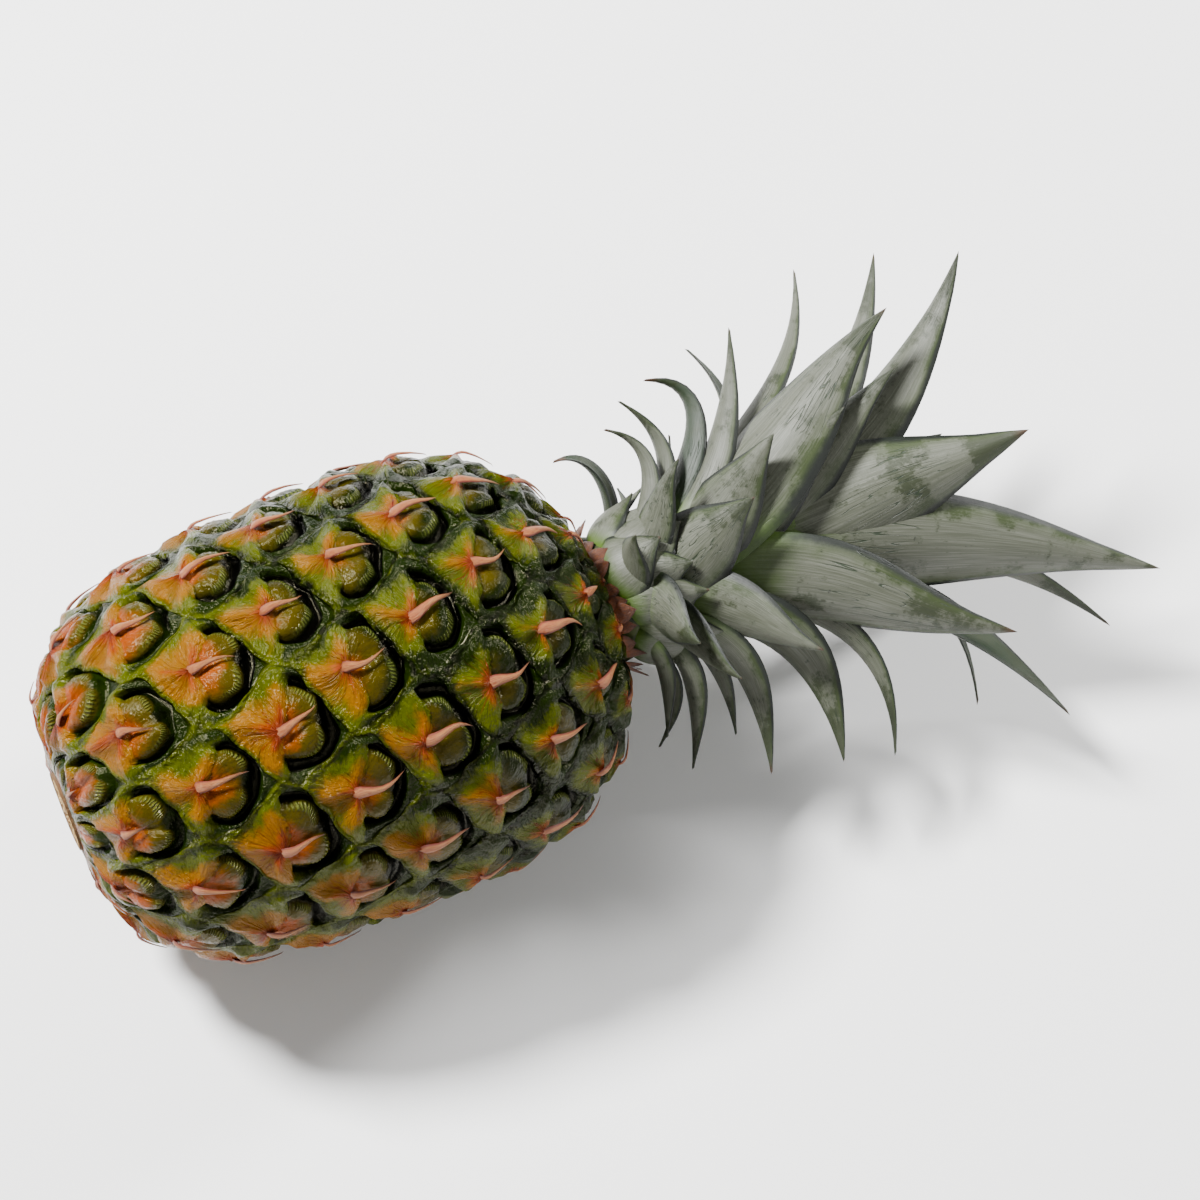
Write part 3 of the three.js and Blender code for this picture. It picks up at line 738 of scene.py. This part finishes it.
for k in range(SPIRAL_SCALES):
    eye = single(last_eye + 1 + k * 0.62)
    turn_here = FIRST_TURN - eye * DIVERGENCE
    _, _, normal, along = skin_frame(eye, turn_here)
    length = luck.uniform(10, 16)
    base = skin(eye, turn_here, single(-1))[0]
    heading = (along[0] * 0.75 + normal[0] * luck.uniform(0.05, 0.5)) * length
    bend = normal[0] * 1.2 * luck.uniform(-1, 1)
    across = np.cross(normal[0], along[0])
    add_scale(base, heading, bend, across, normal[0], SPIRAL_SCALE_HALF, luck.uniform(1.4, 2.2))
for k in range(RING_SCALES):
    away = outward(np.array(k * GOLDEN_TURN + 50.0))
    heading = unit(X_AXIS + away * luck.uniform(0.2, 1.1))
    across = unit(np.cross(away, heading))
    base = X_AXIS * (TOP_X - 0.8) + away * luck.uniform(17.2, 18.4)
    along = heading * luck.uniform(4.5, 9)
    bend = away * luck.uniform(-1.5, 1)
    half = luck.uniform(2.2, 3.8) * RING_SCALE_HALF
    add_scale(base, along, bend, across, np.cross(heading, across), half, luck.uniform(1.6, 2.4))
bracts = store_piece("bract_points", spines)
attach(bracts, "root")

# Pink flesh at the spine's foot, pale along it, and browned and withered at the tip and on the scales
PALE = tint(158, 104, 56)
PINK = tint(128, 58, 20)
BROWN_EDGE = tint(96, 34, 14)
BROWN = tint(52, 22, 8)
WITHERED = tint(110, 58, 14)
paper = Finish("dry_bract")
side_f, way_f, chance_f = paper.split(paper.kept("blade", "Color"))
streak = paper.noise(paper.joined(side_f * 5.0, way_f * 1.6, chance_f * 40.0), 5.0, 3.0, 0.6)
near_edge = abs(side_f - 0.5) * 2.0
flesh = paper.blend(paper.step(streak + way_f * 0.25, 0.4, 0.75), PINK, PALE)
flesh = paper.blend(paper.step(near_edge + (streak - 0.5) * 0.5, 0.6, 0.95), flesh, BROWN_EDGE)
dry = paper.step(way_f + chance_f * 0.5 + (streak - 0.5) * 0.4, 0.88, 1.35)
withered = paper.blend(paper.step(streak - way_f * 0.3, 0.1, 0.6), BROWN, WITHERED)
bracts.data.materials.append(paper.shine(paper.blend(dry, flesh, withered), 0.5, streak, 0.0004))


# The crown: a tuft of stiff, channelled leaves that grow from a short fleshy stem, little hooked ones at its
# foot and long keeled blades inside them. Their backs are silvery with a waxy bloom, rubbed green in places,
# and their faces are green.
CROWN_ROLL = 64.4
BLADE = 1.5
BLADE_TIP = 0.75
STEM = ([0, 12, 26, 40, 54], [18, 16, 12.5, 8.5, 4])  # distance from the fruit, and radius there
LEAF_ROWS = 24
LEAF_COLUMNS = 11
LAST_ROW = 0.985
ROOT_DEPTH = 3
FOOT_PULL = 0.4
TIP_PULL = 0.36
CURLED_PULL = 0.55
KEEL = 0.34


def crown_turn(degrees):
    return outward(np.array(CROWN_ROLL + degrees))


def bezier(corners, t):
    t = np.asarray(t)[:, None]
    a, b, c, d = corners
    return (1 - t) ** 3 * a + 3 * (1 - t) ** 2 * t * b + 3 * (1 - t) * t**2 * c + t**3 * d


def add_leaf(store, turn, foot, tip, width, lean, tip_lean, chance):
    stem_radius = np.interp(foot - TOP_X - GAP, *STEM)
    start = crown_turn(turn) * (stem_radius - ROOT_DEPTH) + X_AXIS * foot
    end = crown_turn(90) * tip[1] + crown_turn(0) * tip[2] + X_AXIS * tip[0]
    length = np.linalg.norm(end - start)

    def heading(away, degrees):
        return X_AXIS * math.cos(math.radians(degrees)) + away * math.sin(math.radians(degrees))

    end_away = end - start
    end_away[0] = 0
    pull = CURLED_PULL if tip_lean > 100 else TIP_PULL
    corners = (
        start,
        start + heading(crown_turn(turn), lean) * length * FOOT_PULL,
        end - heading(unit(end_away), tip_lean) * length * pull,
        end,
    )
    fine_t = np.linspace(0, 1, 201)
    fine_points = bezier(corners, fine_t)
    arc = np.concatenate([[0], np.cumsum(np.linalg.norm(np.diff(fine_points, axis=0), axis=1))])
    s = np.linspace(0, LAST_ROW, LEAF_ROWS)
    t = np.interp(s * arc[-1], arc, fine_t)
    middles = bezier(corners, t)
    tangents = bezier(corners, np.minimum(1, t + 0.004)) - bezier(corners, np.maximum(0, t - 0.004))
    face = crown_turn(turn)
    normals = []
    acrosses = []
    for tangent in tangents:
        tangent = unit(tangent)
        face = unit(face - tangent * face.dot(tangent))
        normals.append(face)
        acrosses.append(np.cross(tangent, face))
    normals = np.array(normals)
    acrosses = np.array(acrosses)
    shape = (1 - s**2.6) * (0.72 + 0.28 * np.sin(np.pi * np.minimum(1, s / 0.85)))
    half = np.maximum(0.35, width / 2 * shape * 1.08)
    keel = KEEL * half
    ripple = 0.05 * width * np.sin(s * 9 + chance * 20) * s * (1 - s)
    middles = middles - normals * (keel * 0.85)[:, None] + acrosses * ripple[:, None]
    thick = (BLADE + (BLADE_TIP - BLADE) * s) * 0.8
    line = np.concatenate([middles, [end]])
    add_blade(store, line, acrosses, normals, half, keel * 1.45, thick, LEAF_COLUMNS, chance)


# The leaves in sight: degrees round from the front leaf, foot along the axis, tip (along the axis, sideways,
# outwards), width, and how far the foot and the tip lean out, in degrees
FRONT_LEAVES = [
    # the long inner blades
    (-2, 184.5, (277, 1, 31), 34.6, 6.5, 14),
    (-32, 186, (302, -48, 17), 33, 13, 30),
    (48, 186, (282, 54, 15), 27, 4, 52),
    (34, 176, (254, 46, 25), 31, 25, 22),
    (58, 182, (265, 63, -5), 20, 6, 60),
    (26, 182, (250, 30, 25), 23, 8, 26),
    (16, 177, (232, 25, 28), 22, 12, 30),
    (-36, 178, (254, -49, 28), 29, 18, 30),
    (-52, 192, (291, -59, -10), 13, 10, 56),
    (-134, 186, (266, -77, 5), 20, 14, 68),
    (165, 188, (270, 9, -24), 27, 8, 12),
    # the middle ones
    (66, 178, (243, 67, -10), 14, 42, 72),
    (18, 172, (210, 25, 32), 23, 14, 40),
    (4, 167, (198, 11, 35), 23, 18, 32),
    (-36, 171, (201, -34, 32), 21, 24, 46),
    (50, 170, (214, 57, 12), 13, 20, 72),
    (126, 176, (206, 57, -12), 14, 30, 118),
    (-58, 176, (215, -69, 6), 11, 18, 112),
    (-50, 170, (200, -65, 10), 19, 22, 104),
    (-128, 182, (248, -66, -16), 12, 17, 104),
    # the short outer ones, many of which curl back
    (62, 166, (188, 52, 4), 9, 12, 165),
    (54, 164, (178, 49, 10), 9, 20, 130),
    (44, 161, (171, 43, 12), 8, 26, 150),
    (104, 160, (157, 40, 0), 9, 14, 185),
    (30, 161, (184, 28, 28), 14, 18, 40),
    (14, 157, (164, 13, 34), 14, 30, 76),
    (-16, 159, (169, -20, 38), 19, 26, 66),
    (-40, 162, (177, -33, 33), 18, 30, 60),
    (-56, 165, (181, -61, 5), 13, 28, 106),
    (-64, 160, (162, -52, 0), 10, 34, 116),
    (-84, 167, (178, -48, -6), 11, 30, 100),
    (-80, 158, (156, -43, -3), 8, 34, 140),
    (-54, 157, (157, -41, 8), 8, 44, 112),
    (-100, 172, (192, -47, -16), 12, 24, 74),
]
CURLED_FROM = 160  # a tip that leans further than this has curled right back and shows the leaf's green face
CURLED_WIDER = 4
FOOT_LEAVES = 24
FOOT_LEAN, FOOT_TIP_LEAN = 64, 30
BACK_LEAVES = 20
leaves = new_store()
for turn, foot, tip, width, lean, tip_lean in FRONT_LEAVES:
    curled = tip_lean > CURLED_FROM
    width += CURLED_WIDER * curled
    add_leaf(leaves, turn, foot, tip, width, lean, tip_lean, luck.uniform() + curled)


def tip_at(along, reach, degrees):
    away = math.radians(degrees)
    return along, reach * math.sin(away), reach * math.cos(away)


# Broad, blunt leaves wrap the crown's foot
for k in range(FOOT_LEAVES):
    turn_here = k * GOLDEN_TURN + 20
    foot = 155.9 + 0.4 * k
    reach = 25 - 0.08 * k + luck.uniform(-1, 1.5)
    aim = turn_here + luck.uniform(-8, 8)
    tip = tip_at(foot + 18 + luck.uniform(-3, 4), reach, aim)
    width = luck.uniform(16, 21)
    add_leaf(leaves, turn_here, foot, tip, width, FOOT_LEAN, FOOT_TIP_LEAN, luck.uniform())

# The leaves at the back follow the spiral round, longer and more upright the further in they are
for k in range(BACK_LEAVES):
    inward = k / (BACK_LEAVES - 1)
    turn_here = 118 + 124 * ((k * 0.618 + 0.3) % 1)
    reach = 41 + 5 * inward + draw(-3, 3)
    foot = 158 + 29 * inward
    aim = turn_here + draw(-4, 4)
    tip = tip_at(foot + 4 + 88 * inward**1.15, reach, aim)
    width = (9 + 15 * inward) * draw(0.85, 1.1)
    lean, tip_lean = 36 - 28 * inward, 118 - 92 * inward**0.6
    add_leaf(leaves, turn_here, foot, tip, width, lean, tip_lean, luck.uniform())
crown = store_piece("crown_leaves", leaves)
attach(crown, "root")
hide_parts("crown")

# Grey bloom on the leaves' backs with green rubs, scratches and edges, brown tips, and dark margins that are
# partly the leaves' own dark green and partly painted shade
BLOOM = tint(91, 93, 82)
BLOOM_DARK = tint(68, 71, 58)
RUBBED = tint(32, 40, 0)
LEAF_GREEN = tint(16, 36, 0)
EDGE_GREEN = tint(44, 58, 6)
DARK_GREEN_AND_EDGE_SHADE = tint(8, 18, 0)
FOOT = tint(66, 92, 2)
TIP = tint(60, 36, 14)
leaf = Finish("pineapple_leaf")
side_f, way_f, chance_f = leaf.split(leaf.kept("blade", "Color"))
back_f = leaf.kept("blade", "Alpha")
where = leaf.place()
fibres = leaf.noise(leaf.joined(side_f * 26.0, way_f * 2.2, chance_f * 50.0), 3.0, 3.0, 0.6)
cloud = leaf.noise(where, 60.0, 5.0, 0.65)
cloud_large = leaf.noise(where, 24.0, 3.0, 0.6)
speck = leaf.noise(where, 420.0, 4.0, 0.7)
near_edge = abs(side_f - 0.5) * 2.0
along_leaf = leaf.joined(side_f * 7.0, way_f * 2.4 + side_f * 1.5, chance_f * 50.0)
scratches = leaf.noise(along_leaf, 2.2, 1.0, 0.4)
scratch = (1 - leaf.step(abs(scratches - 0.5), 0.004, 0.02)) * leaf.step(cloud_large, 0.47, 0.53)
worn = leaf.step(way_f, 0.6, 1.0) * 0.16 + leaf.step(near_edge, 0.6, 1.0) * 0.1
worn = cloud * 0.8 + cloud_large * 0.3 + (fibres - 0.5) * 0.3 + (speck - 0.5) * 0.25 + worn
back_colour = leaf.blend(leaf.step(fibres, 0.35, 0.7), BLOOM_DARK, BLOOM)
back_colour = leaf.blend(leaf.step(worn, 0.59, 0.67) * 0.9, back_colour, RUBBED)
green_edge = leaf.step(near_edge + (cloud - 0.5) * 0.9, 0.5, 0.95) * 0.6
back_colour = leaf.blend(green_edge, back_colour, EDGE_GREEN)
back_colour = leaf.blend(scratch * 0.8, back_colour, LEAF_GREEN)
face_colour = leaf.blend(leaf.step(cloud, 0.35, 0.65), LEAF_GREEN, RUBBED)
# a curled leaf, known by a chance of 1 or more, has its face's colour on both sides
leaf_colour = leaf.blend(back_f * (1 - leaf.step(chance_f, 0.99, 1.0)), face_colour, back_colour)
# painted shade along each leaf's edge, over its own dark green margin
leaf_colour = leaf.blend(leaf.step(near_edge + (cloud - 0.5) * 0.2, 0.8, 0.94), leaf_colour, DARK_GREEN_AND_EDGE_SHADE)
leaf_colour = leaf.blend(1 - leaf.step(way_f + (cloud - 0.5) * 0.3, 0.04, 0.34), leaf_colour, FOOT)
leaf_colour = leaf.blend(leaf.step(way_f + chance_f * 0.06, 0.97, 1.03), leaf_colour, TIP)
leaf_colour = leaf.blend(leaf.step(speck, 0.66, 0.74) * 0.6, leaf_colour, DARK_GREEN_AND_EDGE_SHADE)
leaf_relief = fibres * 0.2 + speck * 0.25 - scratch * 0.4
crown.data.materials.append(leaf.shine(leaf_colour, 0.55 + (cloud - 0.5) * 0.2, leaf_relief, 0.0004))


# A cylinder along the fruit's axis, from one place on it to another
def cylinder(name, start, end, radius, sides):
    bpy.ops.object.select_all(action="DESELECT")
    bpy.ops.mesh.primitive_cylinder_add(
        vertices=sides,
        radius=radius * MM,
        depth=(end - start) * MM,
        location=tuple((PLACE + X_AXIS * (start + end) / 2) * MM),
        rotation=(0, math.pi / 2, 0),
    )
    piece = bpy.context.object
    piece.name = name
    bpy.ops.object.transform_apply(location=True, rotation=True, scale=True)
    return piece


# The stem that the leaves grow from: green flesh, thick at the fruit and drawn out to a point, cut into rings
# and narrowed at each
STEM_TIP = 60
STEM_TIP_RADIUS = 0.6
STEM_SIDES = 28
stem_base = TOP_X + GAP
stem = cylinder("crown_stem", stem_base, stem_base + STEM_TIP, STEM[1][0], STEM_SIDES)
bpy.ops.object.mode_set(mode="EDIT")
for along in STEM[0][1:]:
    bpy.ops.mesh.select_all(action="SELECT")
    bpy.ops.mesh.bisect(plane_co=((PLACE[0] + stem_base + along) * MM, 0, 0), plane_no=(1, 0, 0))
bpy.ops.object.mode_set(mode="OBJECT")
for vertex in stem.data.vertices:
    along = vertex.co.x / MM - PLACE[0] - stem_base
    shrink = np.interp(along, STEM[0] + [STEM_TIP], STEM[1] + [STEM_TIP_RADIUS]) / STEM[1][0]
    vertex.co.y = axis_y + (vertex.co.y - axis_y) * shrink
    vertex.co.z = axis_z + (vertex.co.z - axis_z) * shrink
shade_smooth(stem)
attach(stem, "root")
stem_flesh = Finish("crown_stem_flesh")
grain = stem_flesh.noise(stem_flesh.place(), 300.0, 4.0)
stem_colour = stem_flesh.blend(stem_flesh.step(grain, 0.35, 0.65), tint(30, 34, 4), tint(54, 62, 8))
stem.data.materials.append(stem_flesh.shine(stem_colour, 0.7, grain, 0.0004))


# The stalk: what is left of the fruit's own stem, a plug of pale woody fibre with a brown rim. It snapped off
# level with the socket that it grew in, and its end is a little frayed.
STALK_SIDES = 80
FRAY = 1.1
RIB = 0.045
RIM_WIDTH = 0.4
stalk = cylinder("stalk_plug", BASE_X - STALK_OUT, BASE_X + SOCKET_DEPTH - GAP, STALK_RADIUS, STALK_SIDES)
bpy.ops.object.mode_set(mode="EDIT")
bpy.ops.mesh.select_all(action="DESELECT")
bpy.ops.object.mode_set(mode="OBJECT")
for polygon in stalk.data.polygons:
    polygon.select = polygon.normal.x < -0.9
bpy.ops.object.mode_set(mode="EDIT")
for inset in (0.8, 1.6, 2.4, 2.4):
    bpy.ops.mesh.inset(thickness=inset * MM)
bpy.ops.object.mode_set(mode="OBJECT")
fray = np.random.default_rng(7)
for vertex in stalk.data.vertices:
    y = vertex.co.y / MM - PLACE[1]
    z = vertex.co.z / MM - PLACE[2]
    out = math.hypot(y, z)
    ribbed = 1 + RIB * math.cos(4 * math.atan2(z, y)) * min(1, out / STALK_RADIUS)
    vertex.co.y = (PLACE[1] + y * ribbed) * MM
    vertex.co.z = (PLACE[2] + z * ribbed) * MM
    if vertex.co.x < (PLACE[0] + BASE_X) * MM and out < STALK_RADIUS - RIM_WIDTH:
        vertex.co.x += fray.uniform(0.0, FRAY) * MM
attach(stalk, "root")
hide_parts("stalk")

WOOD = tint(120, 84, 44)
PITH = tint(196, 168, 112)
RIM = tint(92, 64, 34)
plug = Finish("stalk_fibre")
where = plug.place()
_, y_f, z_f = plug.split(where)
from_axis = plug.vector("LENGTH", plug.joined(0.0, y_f - axis_y, z_f - axis_z), out=1)
pith = plug.noise(where, 900.0, 4.0, 0.7)
plug_colour = plug.blend(plug.step(pith, 0.35, 0.7), WOOD, PITH)
plug_colour = plug.blend(plug.step(from_axis, 0.0088, 0.0108), plug_colour, RIM)
stalk.data.materials.append(plug.shine(plug_colour, 0.8, pith, 0.0008))


# The floor, the light and the camera: a plain pale floor, painted matt, and three soft studio lamps over it.
# The camera looks down on the fruit as in the picture.
FLOOR_SIZE = 8
bpy.ops.object.select_all(action="DESELECT")
bpy.ops.mesh.primitive_plane_add(size=FLOOR_SIZE, location=(0, 0, 0))
floor = bpy.context.object
floor.name = "floor"
paint = Finish("pale_floor")
floor.data.materials.append(paint.shine(tint(250, 250, 249), 0.9))

world = bpy.data.worlds.new("studio")
bpy.context.scene.world = world
world.use_nodes = True
background = world.node_tree.nodes["Background"]
background.inputs["Color"].default_value = (1, 1, 1, 1)
background.inputs["Strength"].default_value = 0.25

LIT_AT = np.array([0, 0, 0.05])


def soft_light(name, place, size, power):
    lamp = bpy.data.lights.new(name, "AREA")
    lamp.shape = "DISK"
    lamp.size = size
    lamp.energy = power
    light = bpy.data.objects.new(name, lamp)
    bpy.context.collection.objects.link(light)
    light.location = place
    aim = LIT_AT - np.array(place)
    down = math.atan2(math.hypot(aim[0], aim[1]), -aim[2])
    light.rotation_euler = (down, 0, math.atan2(aim[1], aim[0]) - math.pi / 2)


soft_light("key", (-0.55, 0.55, 1.15), 0.3, 68)
soft_light("fill", (0.3, -1.1, 0.8), 1.2, 6)
soft_light("rim", (1.1, 0.25, 0.7), 0.3, 22)

FROM_FRUIT = np.array([-48.11, -458.43, 957.03])
ELEVATION = math.radians(62.32)
AZIMUTH = math.radians(-23.91)
camera_data = bpy.data.cameras.new("camera")
camera = bpy.data.objects.new("camera", camera_data)
bpy.context.collection.objects.link(camera)
camera_data.lens = 118.6
camera_data.sensor_width = 36
camera_data.sensor_fit = "HORIZONTAL"
camera.location = tuple((PLACE + FROM_FRUIT) * MM)
camera.rotation_euler = (math.pi / 2 - ELEVATION, 0, AZIMUTH)
bpy.context.scene.camera = camera
